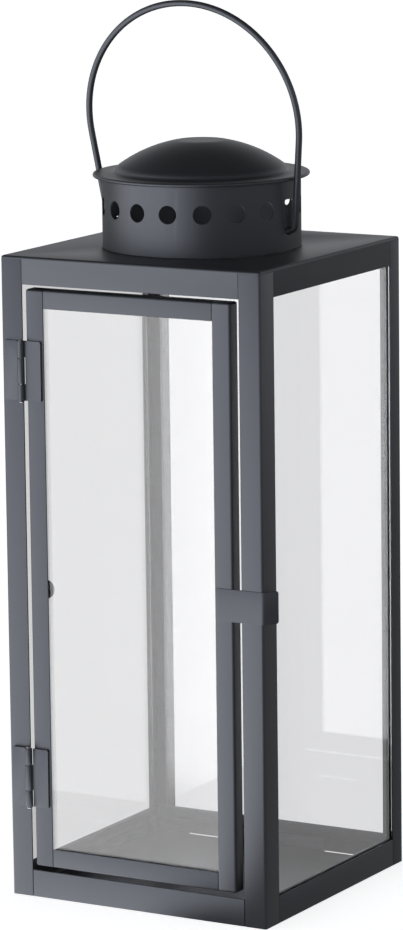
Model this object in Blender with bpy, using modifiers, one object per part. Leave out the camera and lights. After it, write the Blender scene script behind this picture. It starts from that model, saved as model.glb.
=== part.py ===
"""Candle lantern: a folded-sheet case with three fixed panes, a glazed door, a vented collar and a bail.

Metres, +Z up.  The lantern stands on Z = 0 with the middle of its base at the origin.  The door is on
the front, -Y, hinged at its left edge, and the bail turns about the X axis in the collar's hole and slot.
"""
import math

import bmesh
import bpy
from mathutils import Matrix, Vector

# ---------------------------------------------------------------- driving dimensions
CLEARANCE = 0.0003            # kept between pieces that touch
SHEET = 0.0008                # steel sheet of the case, collar and door
FOLD_RADIUS = 0.0012          # outside radius of a fold
CUT_OVER = 0.002              # how far a cutter runs past what it cuts

BODY_WIDTH = 0.135            # case over its posts, X
BODY_DEPTH = 0.134            # case over its posts, Y
BODY_HEIGHT = 0.300           # ground to the roof's top

FRONT_LEG = 0.0110            # post legs, seen from the front, the side and the back
FRONT_POST_SIDE_LEG = 0.0125
REAR_POST_SIDE_LEG = 0.0096
REAR_LEG = 0.0110

ROOF_SKIRT = 0.0129           # height of the roof's turned-down top rails
ROOF_LIP = 0.0014             # roof edge that covers the post tops
SMOKE_HOLE_INSET = 0.00775    # hole's edge inside the collar's outside
BASE_RAIL_HEIGHT = 0.0127

FLOOR_SLIT = 0.0033           # open strip beside the floor's upturned tabs
FLOOR_TAB_WIDTH = 0.050
FLOOR_TAB_HEIGHT = 0.0060
FLOOR_SLIT_LENGTH = 0.023

GLASS = 0.0020
GLASS_ARRIS = 0.0002          # ground-off edge of a pane
PANE_OVERLAP = 0.0018         # a side pane's cover behind a post's leg
REAR_PANE_OVERLAP = 0.0040
LEDGE_LIP = 0.0004            # pane ledge that shows past its rail
LEDGE_HEIGHT = 0.0057

DOOR_GAP_HINGE = 0.0019
DOOR_GAP_LATCH = 0.0044
DOOR_GAP_TOP = 0.0019
DOOR_GAP_BASE = 0.0022
STILE_WIDTH = 0.0092
DOOR_RAIL_HEIGHT = 0.0087
DOOR_RETURN = 0.0067          # depth of the door frame's turned-in edge
PANE_TAB_HEIGHT = 0.0090
PANE_TAB_SHOW = 0.0016        # how far the pane's tab reaches past its stile
PANE_TAB_DROP = 0.0040        # tab's centre below the door's middle

HINGE_HEIGHT = 0.0276
HINGE_FROM_TOP = 0.0523       # upper hinge's centre below the case's top
HINGE_FROM_BASE = 0.0572
HINGE_MIDDLE_KNUCKLE = 0.0117
HINGE_LEAF = 0.0012
HINGE_AXIS_FROM_POST = 0.0003
KNUCKLE_RADIUS = 0.0017
KNUCKLE_BORE_RADIUS = 0.00105
PIN_RADIUS = 0.00075
PIN_HEAD_RADIUS = 0.0012
PIN_HEAD = 0.0004
LEAF_MARGIN = 0.0008          # post or stile that shows beside a hinge leaf

LATCH_HEIGHT = 0.0150
LATCH_DROP = 0.0018           # clip's centre below the case's middle
LATCH_BEND_RADIUS = 0.0024    # inside
LATCH_BEND_DEG = 60           # how far it wraps round the post
LATCH_BEND_INSET = 0.0010     # where the bend begins, before the post's outer side
LATCH_LEG = 0.0066            # straight length past the bend

COLLAR_RADIUS = 0.04575
COLLAR_HEIGHT = 0.0330
VENT_RADIUS = 0.00425
VENT_HEIGHT = 0.0196          # vent centres above the roof
VENT_PITCH_DEG = 20
SLOT_WIDTH = 0.0070
SLOT_BASE = 0.0073            # slot's lower end above the roof
SLOT_HEIGHT = 0.0164
SLOT_TOP_CORNER = 0.0008

LID_OVERHANG = 0.00415        # lid's rim past the collar
LID_SHEET = 0.0007
LID_RIM_RADIUS = 0.00085
LID_HEM = 0.0029
DOME_FOOT_INSET = 0.00625     # dome's foot inside the collar's outside
DOME_HEIGHT = 0.0145
DOME_FLAT_RADIUS = 0.0114
DOME_KNUCKLE_RADIUS = 0.0045
DOME_FILLET = 0.0010

BAIL_WIRE_RADIUS = 0.0015
BAIL_LOOP_OUT = 0.0051        # centreline of the round top past the lid's rim
BAIL_LOOP_HEIGHT = 0.0487     # loop centre above the pivot
BAIL_FOOT_OUT = 0.0036        # foot of the straight leg past the collar, on the centreline
BAIL_SHIFT = -0.0005          # it hangs a little to the left
BAIL_PIVOT_CLEAR = 0.00055    # round the wire in its hole, and below it in the slot
BAIL_LEAN_DEG = 7.3           # towards the front, as it stands
BAIL_FOOT_BEND = 0.0032
BAIL_HOOK_REACH = 0.0052      # hook's end from the collar's wall, inwards
BAIL_HOOK_DROP = 0.0048

RING_STEPS = 56               # facets round the collar and the lid

# ---------------------------------------------------------------- derived places
HALF_W = BODY_WIDTH / 2
HALF_D = BODY_DEPTH / 2
ROOF_BASE_Z = BODY_HEIGHT - ROOF_SKIRT
POST_TOP_Z = BODY_HEIGHT - ROOF_LIP - CLEARANCE

DOOR_X0 = -HALF_W + FRONT_LEG + DOOR_GAP_HINGE
DOOR_X1 = HALF_W - FRONT_LEG - DOOR_GAP_LATCH
DOOR_Z0 = BASE_RAIL_HEIGHT + DOOR_GAP_BASE
DOOR_Z1 = ROOF_BASE_Z - DOOR_GAP_TOP

HINGE_X = -HALF_W + FRONT_LEG + HINGE_AXIS_FROM_POST
HINGE_Y = -HALF_D - CLEARANCE - KNUCKLE_RADIUS

LATCH_CENTRE_Z = BODY_HEIGHT / 2 - LATCH_DROP

SMOKE_HOLE_RADIUS = COLLAR_RADIUS - SMOKE_HOLE_INSET
COLLAR_BASE_Z = BODY_HEIGHT + CLEARANCE
LID_UNDERSIDE_Z = COLLAR_BASE_Z + COLLAR_HEIGHT + CLEARANCE
LID_RADIUS = COLLAR_RADIUS + LID_OVERHANG
DOME_FOOT_RADIUS = COLLAR_RADIUS - DOME_FOOT_INSET
BAIL_LOOP_RADIUS = LID_RADIUS + BAIL_LOOP_OUT
BAIL_PIVOT_Z = BODY_HEIGHT + SLOT_BASE + BAIL_WIRE_RADIUS + BAIL_PIVOT_CLEAR

# ---------------------------------------------------------------- scene and materials
for old in list(bpy.data.objects):
    bpy.data.objects.remove(old, do_unlink=True)

lantern = bpy.data.collections.new("candle_lantern")
cutters = bpy.data.collections.new("cutters")
bpy.context.scene.collection.children.link(lantern)
bpy.context.scene.collection.children.link(cutters)


def make_material(name, color, roughness, metallic=0.0, transmission=0.0):
    material = bpy.data.materials.new(name)
    material.use_nodes = True
    shader = material.node_tree.nodes["Principled BSDF"]
    shader.inputs["Base Color"].default_value = (*color, 1.0)
    shader.inputs["Roughness"].default_value = roughness
    shader.inputs["Metallic"].default_value = metallic
    shader.inputs["Transmission Weight"].default_value = transmission
    return material


PAINT = make_material("black_powder_coat", (0.035, 0.036, 0.038), 0.5)
CLEAR_GLASS = make_material("clear_glass", (0.93, 0.96, 0.96), 0.03, transmission=1.0)
STEEL = make_material("bare_steel", (0.55, 0.55, 0.56), 0.3, metallic=1.0)


# ---------------------------------------------------------------- building tools
def new_object(name, mesh, material, parent=None):
    obj = bpy.data.objects.new(name, mesh)
    lantern.objects.link(obj)
    mesh.materials.append(material)
    adopt(obj, parent)
    return obj


def adopt(obj, parent):
    """Hang obj on an empty without moving it."""
    if parent is not None:
        obj.parent = parent
        obj.matrix_parent_inverse = Matrix.Translation(parent.location).inverted()


def axis_empty(name, location):
    empty = bpy.data.objects.new(name, None)
    empty.empty_display_size = 0.02
    lantern.objects.link(empty)
    empty.location = location
    return empty


def cube(bm, low, high):
    """Add a closed box between two corners and return its vertices."""
    low, high = Vector(low), Vector(high)
    size = high - low
    place = Matrix.Translation((low + high) / 2) @ Matrix.Diagonal((*size, 1.0))
    return bmesh.ops.create_cube(bm, size=1.0, matrix=place)["verts"]


def mesh_from(bm, name):
    mesh = bpy.data.meshes.new(name)
    bm.to_mesh(mesh)
    bm.free()
    return mesh


def box(name, low, high, material, parent=None):
    bm = bmesh.new()
    cube(bm, low, high)
    return new_object(name, mesh_from(bm, name), material, parent)


def bevel(obj, width, segments):
    modifier = obj.modifiers.new("folds", "BEVEL")
    modifier.width = width
    modifier.segments = segments
    modifier.limit_method = "ANGLE"
    modifier.angle_limit = math.radians(40)


def thicken(obj, wall):
    """Give an open surface its wall, on the side away from its normals."""
    modifier = obj.modifiers.new("wall", "SOLIDIFY")
    modifier.thickness = wall
    modifier.offset = -1.0
    modifier.use_even_offset = True


SIDES = {
    "-X": (-1, 0, 0), "+X": (1, 0, 0),
    "-Y": (0, -1, 0), "+Y": (0, 1, 0),
    "-Z": (0, 0, -1), "+Z": (0, 0, 1),
}


def folded(name, low, high, keep, material, parent=None, sheet=SHEET):
    """Sheet folded along the edges where the kept sides of a box meet, such as ("-X", "-Y")."""
    bm = bmesh.new()
    cube(bm, low, high)
    bm.normal_update()
    wanted = [Vector(SIDES[side]) for side in keep]
    spare = [f for f in bm.faces if not any(f.normal.dot(w) > 0.9 for w in wanted)]
    bmesh.ops.delete(bm, geom=spare, context="FACES")
    obj = new_object(name, mesh_from(bm, name), material, parent)
    bevel(obj, FOLD_RADIUS, 3)
    thicken(obj, sheet)
    return obj


def cutter(name, bm):
    obj = bpy.data.objects.new(name, mesh_from(bm, name))
    cutters.objects.link(obj)
    obj.hide_render = True
    obj.display_type = "WIRE"
    return obj


def boolean(obj, tool, operation):
    modifier = obj.modifiers.new(tool.name, "BOOLEAN")
    modifier.operation = operation
    modifier.solver = "EXACT"
    modifier.object = tool


def cylinder(bm, radius, low, high, axis="Z", segments=32):
    """Add a closed cylinder between two points on an axis and return its vertices."""
    low, high = Vector(low), Vector(high)
    turn = Matrix.Rotation(math.radians(90), 4, "Y") if axis == "X" else Matrix.Identity(4)
    place = Matrix.Translation((low + high) / 2) @ turn
    return bmesh.ops.create_cone(
        bm, cap_ends=True, segments=segments, radius1=radius, radius2=radius,
        depth=(high - low).length, matrix=place)["verts"]


def smooth(obj, angle=35):
    obj.data.shade_smooth()
    obj.data.set_sharp_from_angle(angle=math.radians(angle))


def turned(name, profile, material, steps, closed, parent=None):
    """Turn a profile of (radius, z) points about the Z axis."""
    mesh = bpy.data.meshes.new(name)
    count = len(profile)
    edges = [(i, i + 1) for i in range(count - 1)]
    if closed:
        edges.append((count - 1, 0))
    mesh.from_pydata([(r, 0.0, z) for r, z in profile], edges, [])
    obj = new_object(name, mesh, material, parent)
    screw = obj.modifiers.new("turn", "SCREW")
    screw.axis = "Z"
    screw.steps = steps
    screw.render_steps = steps
    screw.use_merge_vertices = True
    screw.merge_threshold = 0.00001
    screw.use_smooth_shade = True
    return obj


def arc(centre, radius, start_deg, end_deg, count):
    """Points on an arc in a plane, ends included."""
    points = []
    for i in range(count + 1):
        angle = math.radians(start_deg + (end_deg - start_deg) * i / count)
        points.append((centre[0] + radius * math.cos(angle), centre[1] + radius * math.sin(angle)))
    return points


# ---------------------------------------------------------------- case
def build_posts():
    """Four angle posts: short legs behind, a wider side leg in front."""
    for front in (True, False):
        side_leg = FRONT_POST_SIDE_LEG if front else REAR_POST_SIDE_LEG
        face_leg = FRONT_LEG if front else REAR_LEG
        y_side = "-Y" if front else "+Y"
        y_low, y_high = (-HALF_D, -HALF_D + side_leg) if front else (HALF_D - side_leg, HALF_D)
        for left in (True, False):
            x_side = "-X" if left else "+X"
            x_low, x_high = (-HALF_W, -HALF_W + face_leg) if left else (HALF_W - face_leg, HALF_W)
            name = "post_" + ("front_" if front else "rear_") + ("left" if left else "right")
            folded(name, (x_low, y_low, 0.0), (x_high, y_high, POST_TOP_Z), (x_side, y_side), PAINT)


def build_roof():
    """Roof tray folded from one sheet: its skirts are the top rails, cut away over the posts."""
    roof = folded(
        "roof_tray", (-HALF_W, -HALF_D, ROOF_BASE_Z), (HALF_W, HALF_D, BODY_HEIGHT),
        ("-X", "+X", "-Y", "+Y", "+Z"), PAINT)
    bm = bmesh.new()
    for front in (True, False):
        side_leg = FRONT_POST_SIDE_LEG if front else REAR_POST_SIDE_LEG
        face_leg = FRONT_LEG if front else REAR_LEG
        deep = side_leg + CLEARANCE
        wide = face_leg + CLEARANCE
        y_low = -HALF_D - CUT_OVER if front else HALF_D - deep
        y_high = -HALF_D + deep if front else HALF_D + CUT_OVER
        for left in (True, False):
            x_low = -HALF_W - CUT_OVER if left else HALF_W - wide
            x_high = -HALF_W + wide if left else HALF_W + CUT_OVER
            cube(bm, (x_low, y_low, ROOF_BASE_Z - CUT_OVER), (x_high, y_high, BODY_HEIGHT - ROOF_LIP))
    boolean(roof, cutter("cut_roof_corners", bm), "DIFFERENCE")
    bm = bmesh.new()
    cylinder(bm, SMOKE_HOLE_RADIUS, (0, 0, BODY_HEIGHT - CUT_OVER), (0, 0, BODY_HEIGHT + CUT_OVER),
             segments=RING_STEPS)
    boolean(roof, cutter("cut_smoke_hole", bm), "DIFFERENCE")
    smooth(roof)


def build_base_rails():
    """Four rails between the posts, each a strip with an eased top edge."""
    side_low = -HALF_D + FRONT_POST_SIDE_LEG + CLEARANCE
    side_high = HALF_D - REAR_POST_SIDE_LEG - CLEARANCE
    front_x = HALF_W - FRONT_LEG - CLEARANCE
    rear_x = HALF_W - REAR_LEG - CLEARANCE
    places = {
        "base_rail_front": ((-front_x, -HALF_D), (front_x, -HALF_D + SHEET)),
        "base_rail_rear": ((-rear_x, HALF_D - SHEET), (rear_x, HALF_D)),
        "base_rail_left": ((-HALF_W, side_low), (-HALF_W + SHEET, side_high)),
        "base_rail_right": ((HALF_W - SHEET, side_low), (HALF_W, side_high)),
    }
    for name, (low, high) in places.items():
        rail = box(name, (*low, 0.0), (*high, BASE_RAIL_HEIGHT), PAINT)
        bevel(rail, SHEET / 4, 1)


def pull(bm, faces, step):
    """Extrude faces by a step and return the moved faces."""
    made = bmesh.ops.extrude_face_region(bm, geom=faces)["geom"]
    bmesh.ops.delete(bm, geom=faces, context="FACES")
    bmesh.ops.translate(bm, verts=[g for g in made if isinstance(g, bmesh.types.BMVert)], vec=step)
    bm.normal_update()
    return [g for g in made if isinstance(g, bmesh.types.BMFace)]


def build_floor():
    """Floor plate with an upturned tab, and a slit to each side of it, at the front and at the rear."""
    x_end = HALF_W - SHEET - CLEARANCE
    y_end = HALF_D - SHEET - CLEARANCE
    tab = FLOOR_TAB_WIDTH / 2
    slit_end = tab + FLOOR_SLIT_LENGTH
    bm = bmesh.new()
    cube(bm, (-x_end, -y_end + FLOOR_SLIT, 0.0), (x_end, y_end - FLOOR_SLIT, SHEET))
    for x in (-slit_end, -tab, tab, slit_end):
        everything = bm.verts[:] + bm.edges[:] + bm.faces[:]
        bmesh.ops.bisect_plane(bm, geom=everything, plane_co=(x, 0, 0), plane_no=(1, 0, 0), dist=1e-7)
    bm.normal_update()
    for way in (-1, 1):
        edge = [f for f in bm.faces if f.normal.y * way > 0.9 and f.calc_center_median().y * way > 0]
        tab_face = [f for f in edge if abs(f.calc_center_median().x) < tab]
        corners = [f for f in edge if abs(f.calc_center_median().x) > slit_end]
        pull(bm, corners, (0, way * FLOOR_SLIT, 0))
        tab_face = pull(bm, tab_face, (0, way * (FLOOR_SLIT - SHEET), 0))
        tab_face = pull(bm, tab_face, (0, way * SHEET, 0))
        top = [
            f for f in bm.faces
            if f.normal.z > 0.9 and abs(f.calc_center_median().x) < tab
            and way * f.calc_center_median().y > y_end - SHEET]
        pull(bm, top, (0, 0, FLOOR_TAB_HEIGHT - SHEET))
    new_object("floor_plate", mesh_from(bm, "floor_plate"), PAINT)


def build_fixed_glazing():
    """Three panes, each between a lower and an upper ledge fixed behind its rails."""
    ledge_low = BASE_RAIL_HEIGHT + LEDGE_LIP - LEDGE_HEIGHT
    ledge_high = ROOF_BASE_Z - LEDGE_LIP + LEDGE_HEIGHT
    pane_low = ledge_low + SHEET + CLEARANCE
    pane_high = ledge_high - SHEET - CLEARANCE
    depth = GLASS + 2 * CLEARANCE + SHEET
    side_low = -HALF_D + FRONT_POST_SIDE_LEG - PANE_OVERLAP
    side_high = HALF_D - REAR_POST_SIDE_LEG + PANE_OVERLAP
    rear_x = HALF_W - REAR_LEG + REAR_PANE_OVERLAP
    for side, way in (("left", -1), ("right", 1), ("rear", 1)):
        outer = (HALF_D if side == "rear" else HALF_W) - SHEET - CLEARANCE
        layers = {
            "pane": sorted((way * outer, way * (outer - GLASS))),
            "ledge": sorted((way * outer, way * (outer - depth))),
        }
        inner_face = {"left": "+X", "right": "-X", "rear": "-Y"}[side]

        def corners(layer, z_low, z_high, side=side, layers=layers):
            near, far = layers[layer]
            if side == "rear":
                return (-rear_x, near, z_low), (rear_x, far, z_high)
            return (near, side_low, z_low), (far, side_high, z_high)

        pane = box("pane_" + side, *corners("pane", pane_low, pane_high), CLEAR_GLASS)
        bevel(pane, GLASS_ARRIS, 1)
        folded("pane_ledge_lower_" + side, *corners("ledge", ledge_low, ledge_low + LEDGE_HEIGHT),
               (inner_face, "-Z"), PAINT)
        folded("pane_ledge_upper_" + side, *corners("ledge", ledge_high - LEDGE_HEIGHT, ledge_high),
               (inner_face, "+Z"), PAINT)


# ---------------------------------------------------------------- collar and lid
def build_collar():
    """Round collar with a ring of vents, and a hole and a slot for the bail's two ends."""
    top = COLLAR_BASE_Z + COLLAR_HEIGHT
    inner = COLLAR_RADIUS - SHEET
    collar = turned(
        "collar",
        [(COLLAR_RADIUS, top), (COLLAR_RADIUS, COLLAR_BASE_Z), (inner, COLLAR_BASE_Z), (inner, top)],
        PAINT, RING_STEPS, closed=True)
    reach = COLLAR_RADIUS + CUT_OVER
    vent_z = BODY_HEIGHT + VENT_HEIGHT
    bm = bmesh.new()
    for angle in range(0, 360, VENT_PITCH_DEG):
        if angle % 180 == 0:
            continue                  # the bail's hole and slot take these places
        vent = cylinder(bm, VENT_RADIUS, (inner - CUT_OVER, 0, vent_z), (reach, 0, vent_z), axis="X", segments=14)
        bmesh.ops.rotate(bm, verts=vent, cent=(0, 0, 0), matrix=Matrix.Rotation(math.radians(angle), 3, "Z"))
    boolean(collar, cutter("cut_vents", bm), "DIFFERENCE")

    # the bail's left end turns in a round hole, and its right end drops into a slot
    bm = bmesh.new()
    slot_low = BODY_HEIGHT + SLOT_BASE
    half = SLOT_WIDTH / 2
    cube(bm, (inner - CUT_OVER, -half, slot_low), (reach, half, slot_low + SLOT_HEIGHT))
    along = [e for e in bm.edges if abs((e.verts[0].co - e.verts[1].co).x) > SHEET]
    for low_end, corner, segments in ((True, half * 0.999, 6), (False, SLOT_TOP_CORNER, 2)):
        ends = [e for e in along if e.is_valid and (e.verts[0].co.z < slot_low + half) == low_end]
        bmesh.ops.bevel(
            bm, geom=ends, offset=corner, segments=segments, profile=0.5, affect="EDGES", clamp_overlap=True)
    cylinder(bm, BAIL_WIRE_RADIUS + BAIL_PIVOT_CLEAR, (-reach, 0, BAIL_PIVOT_Z),
             (CUT_OVER - inner, 0, BAIL_PIVOT_Z), axis="X", segments=16)
    boolean(collar, cutter("cut_bail_holes", bm), "DIFFERENCE")
    smooth(collar)


def dome_profile(flange_z):
    """Outer line from the flat crown to the flange: a wide arc that runs into a small knuckle."""
    knuckle = DOME_KNUCKLE_RADIUS
    knuckle_r = DOME_FOOT_RADIUS - knuckle
    # The wide arc is centred on the axis, meets the flat crown's edge and is tangent to the knuckle.
    # With rise as the crown's height over its centre, its radius is (shift + rise * drop) / knuckle.
    drop = DOME_HEIGHT
    shift = (DOME_FLAT_RADIUS ** 2 + knuckle ** 2 - knuckle_r ** 2 - drop ** 2) / 2
    a = drop ** 2 - knuckle ** 2
    b = 2 * shift * drop
    c = shift ** 2 - (knuckle * DOME_FLAT_RADIUS) ** 2
    rise = (-b + math.sqrt(b * b - 4 * a * c)) / (2 * a)
    wide = math.hypot(DOME_FLAT_RADIUS, rise)
    crown_z = flange_z + DOME_HEIGHT
    first = math.degrees(math.atan2(rise, DOME_FLAT_RADIUS))
    last = math.degrees(math.atan2(rise - drop, knuckle_r))
    points = [(0.0, crown_z)] + arc((0.0, crown_z - rise), wide, first, last, 6)
    points += arc((knuckle_r, flange_z), knuckle, last, 15, 2)[1:]
    points.append((DOME_FOOT_RADIUS + DOME_FILLET, flange_z))
    return points


def build_lid():
    """Spun lid: dome, flat flange and a rim hemmed back under itself."""
    rim_z = LID_UNDERSIDE_Z + LID_SHEET - LID_RIM_RADIUS
    rim_r = LID_RADIUS - LID_RIM_RADIUS
    profile = dome_profile(LID_UNDERSIDE_Z + LID_SHEET)
    profile += arc((rim_r, rim_z), LID_RIM_RADIUS, 90, -90, 4)
    profile.append((rim_r - LID_HEM, rim_z - LID_RIM_RADIUS))
    lid = turned("lid", profile, PAINT, RING_STEPS, closed=False)
    thicken(lid, LID_SHEET)
    smooth(lid)


# ---------------------------------------------------------------- bail
def bail_half():
    """Right half of the bail's centreline, from its hook to its top, in (x, height over the pivot)."""
    hook_x = COLLAR_RADIUS - SHEET - BAIL_HOOK_REACH
    foot_x = COLLAR_RADIUS + BAIL_FOOT_OUT
    hook_bend = BAIL_HOOK_DROP / 2
    # the straight leg runs from its foot to the round top, which it meets as a tangent
    lean_out = (math.atan2(BAIL_LOOP_HEIGHT, foot_x)
                - math.acos(BAIL_LOOP_RADIUS / math.hypot(BAIL_LOOP_HEIGHT, foot_x)))
    bend = BAIL_FOOT_BEND
    bend_x = foot_x - bend * math.tan((math.pi / 2 - lean_out) / 2)
    points = [(hook_x, -BAIL_HOOK_DROP)]
    points += arc((hook_x + hook_bend, -hook_bend), hook_bend, 180, 90, 4)
    points += arc((bend_x, bend), bend, -90, -math.degrees(lean_out), 5)
    points += arc((0.0, BAIL_LOOP_HEIGHT), BAIL_LOOP_RADIUS, -math.degrees(lean_out), 90, 18)
    return points


def build_bail():
    """Wire bail on its axis empty, leaning forward as it stands."""
    pivot = axis_empty("bail_axis", (0.0, 0.0, BAIL_PIVOT_Z))
    half = bail_half()
    route = half + [(-x, z) for x, z in reversed(half[:-1])]
    curve = bpy.data.curves.new("bail", "CURVE")
    curve.dimensions = "3D"
    curve.bevel_depth = BAIL_WIRE_RADIUS
    curve.bevel_resolution = 2
    curve.use_fill_caps = True
    spline = curve.splines.new("POLY")
    spline.points.add(len(route) - 1)
    lean = Matrix.Rotation(math.radians(BAIL_LEAN_DEG), 3, "X")
    for point, (x, z) in zip(spline.points, route):
        point.co = (*(lean @ Vector((x + BAIL_SHIFT, 0.0, z))), 1.0)
    bail = new_object("bail", curve, PAINT)
    bail.location = pivot.location
    adopt(bail, pivot)


# ---------------------------------------------------------------- door
def build_door_frame(axis):
    """Two full-height stiles and two rails butted between them, each with a turned-in edge."""
    y_low, y_high = -HALF_D, -HALF_D + DOOR_RETURN
    right_stile = folded("door_stile_right", (DOOR_X1 - STILE_WIDTH, y_low, DOOR_Z0), (DOOR_X1, y_high, DOOR_Z1),
                         ("+X", "-Y", "-Z", "+Z"), PAINT, axis)
    left_stile = folded("door_stile_left", (DOOR_X0, y_low, DOOR_Z0), (DOOR_X0 + STILE_WIDTH, y_high, DOOR_Z1),
                        ("-X", "-Y", "-Z", "+Z"), PAINT, axis)
    # tab that holds the pane: a strip from the turned-in edge, with a round end past the stile
    middle = (DOOR_Z0 + DOOR_Z1) / 2 - PANE_TAB_DROP
    tab_half = PANE_TAB_HEIGHT / 2
    tab_y = y_low + SHEET + CLEARANCE + GLASS + CLEARANCE
    tip = DOOR_X0 + STILE_WIDTH + PANE_TAB_SHOW
    bm = bmesh.new()
    cube(bm, (DOOR_X0 + SHEET / 2, tab_y, middle - tab_half), (tip, tab_y + SHEET, middle + tab_half))
    ends = [e for e in bm.edges if all(abs(v.co.x - tip) < SHEET / 10 for v in e.verts)
            and abs(e.verts[0].co.z - e.verts[1].co.z) < SHEET / 10]
    bmesh.ops.bevel(bm, geom=ends, offset=tab_half * 0.999, segments=6, profile=0.5, affect="EDGES")
    boolean(left_stile, cutter("pane_tab", bm), "UNION")
    smooth(left_stile)
    smooth(right_stile)
    rail_low = DOOR_X0 + STILE_WIDTH + CLEARANCE
    rail_high = DOOR_X1 - STILE_WIDTH - CLEARANCE
    folded("door_rail_top", (rail_low, y_low, DOOR_Z1 - DOOR_RAIL_HEIGHT), (rail_high, y_high, DOOR_Z1),
           ("-Y", "+Z"), PAINT, axis)
    folded("door_rail_bottom", (rail_low, y_low, DOOR_Z0), (rail_high, y_high, DOOR_Z0 + DOOR_RAIL_HEIGHT),
           ("-Y", "-Z"), PAINT, axis)
    inset = FOLD_RADIUS + CLEARANCE
    pane_y = y_low + SHEET + CLEARANCE
    pane = box("door_pane", (DOOR_X0 + inset, pane_y, DOOR_Z0 + inset),
               (DOOR_X1 - inset, pane_y + GLASS, DOOR_Z1 - inset), CLEAR_GLASS, axis)
    bevel(pane, GLASS_ARRIS, 1)


def build_latch(axis):
    """Spring strip on the right stile that bridges the gap, wraps round the corner post and flares away."""
    front = -HALF_D - CLEARANCE
    bend = LATCH_BEND_RADIUS
    turn = math.radians(LATCH_BEND_DEG)
    path = [(DOOR_X1 - STILE_WIDTH + CLEARANCE, front)]
    path += arc((HALF_W - LATCH_BEND_INSET, front + bend), bend, -90, LATCH_BEND_DEG - 90, 6)
    end_x, end_y = path[-1]
    path.append((end_x + LATCH_LEG * math.cos(turn), end_y + LATCH_LEG * math.sin(turn)))
    bm = bmesh.new()
    low_z = LATCH_CENTRE_Z - LATCH_HEIGHT / 2
    verts = [bm.verts.new((x, y, low_z)) for x, y in path]
    edges = [bm.edges.new(pair) for pair in zip(verts, verts[1:])]
    lifted = bmesh.ops.extrude_edge_only(bm, edges=edges)["geom"]
    bmesh.ops.translate(
        bm, verts=[g for g in lifted if isinstance(g, bmesh.types.BMVert)], vec=(0, 0, LATCH_HEIGHT))
    bmesh.ops.recalc_face_normals(bm, faces=bm.faces)
    bm.normal_update()
    first = min(bm.faces, key=lambda f: f.calc_center_median().x)
    if first.normal.y < 0:
        bmesh.ops.reverse_faces(bm, faces=bm.faces)
    latch = new_object("latch_clip", mesh_from(bm, "latch_clip"), PAINT, axis)
    thicken(latch, SHEET)
    smooth(latch)


# ---------------------------------------------------------------- hinges
def build_leaf(name, centre_z, way, outer_x, owns_middle, parent):
    """One hinge leaf: a flat plate with one middle knuckle, or with two outer knuckles."""
    y_face = -HALF_D - CLEARANCE
    low_z, high_z = centre_z - HINGE_HEIGHT / 2, centre_z + HINGE_HEIGHT / 2
    middle_low = centre_z - HINGE_MIDDLE_KNUCKLE / 2
    middle_high = centre_z + HINGE_MIDDLE_KNUCKLE / 2
    clear_x = HINGE_X + way * (KNUCKLE_RADIUS + CLEARANCE)
    bands = [(middle_low, middle_high)] if owns_middle else [
        (low_z, middle_low - CLEARANCE), (middle_high + CLEARANCE, high_z)]
    x_low, x_high = sorted((clear_x, outer_x))
    leaf = box(name, (x_low, y_face - HINGE_LEAF, low_z), (x_high, y_face, high_z), PAINT, parent)
    bm = bmesh.new()
    for band_low, band_high in bands:
        x_low, x_high = sorted((HINGE_X, clear_x + way * CLEARANCE))
        cube(bm, (x_low, y_face - HINGE_LEAF, band_low), (x_high, y_face, band_high))
    boolean(leaf, cutter(name + "_neck", bm), "UNION")
    bm = bmesh.new()
    for band_low, band_high in bands:
        cylinder(bm, KNUCKLE_RADIUS, (HINGE_X, HINGE_Y, band_low), (HINGE_X, HINGE_Y, band_high), segments=20)
    boolean(leaf, cutter(name + "_knuckle", bm), "UNION")
    bm = bmesh.new()
    cylinder(bm, KNUCKLE_BORE_RADIUS, (HINGE_X, HINGE_Y, low_z - CUT_OVER),
             (HINGE_X, HINGE_Y, high_z + CUT_OVER), segments=16)
    boolean(leaf, cutter(name + "_bore", bm), "DIFFERENCE")
    smooth(leaf)


def build_hinges(axis):
    """Upper and lower hinge: the post holds the middle knuckle above and the outer ones below."""
    post_edge = -HALF_W + LEAF_MARGIN + FOLD_RADIUS
    stile_edge = DOOR_X0 + STILE_WIDTH - LEAF_MARGIN
    for place, centre_z, post_owns_middle in (
            ("upper", BODY_HEIGHT - HINGE_FROM_TOP, True), ("lower", HINGE_FROM_BASE, False)):
        build_leaf(f"hinge_{place}_post_leaf", centre_z, -1, post_edge, post_owns_middle, None)
        build_leaf(f"hinge_{place}_door_leaf", centre_z, 1, stile_edge, not post_owns_middle, axis)
        end = HINGE_HEIGHT / 2 + CLEARANCE
        upper = [(0.0, end + PIN_HEAD), (PIN_HEAD_RADIUS, end + PIN_HEAD), (PIN_HEAD_RADIUS, end),
                 (PIN_RADIUS, end)]
        profile = upper + [(radius, -z) for radius, z in reversed(upper)]
        pin = turned(f"hinge_{place}_pin", profile, STEEL, 16, closed=False)
        pin.location = (HINGE_X, HINGE_Y, centre_z)
        smooth(pin)


build_posts()
build_roof()
build_base_rails()
build_floor()
build_fixed_glazing()
build_collar()
build_lid()
build_bail()
door_axis = axis_empty("door_axis", (HINGE_X, HINGE_Y, 0.0))
build_door_frame(door_axis)
build_latch(door_axis)
build_hinges(door_axis)
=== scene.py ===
"""Candle lantern in black powder-coated sheet steel, with clear glass panes, on a pale floor.

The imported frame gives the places.  Each piece here is the finished form of one frame piece: sheet with
real folds and eased edges, spun lid, bent wire bail, rolled hinges and float glass.
"""
import math

import bmesh
import bpy
from mathutils import Matrix, Vector


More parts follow.
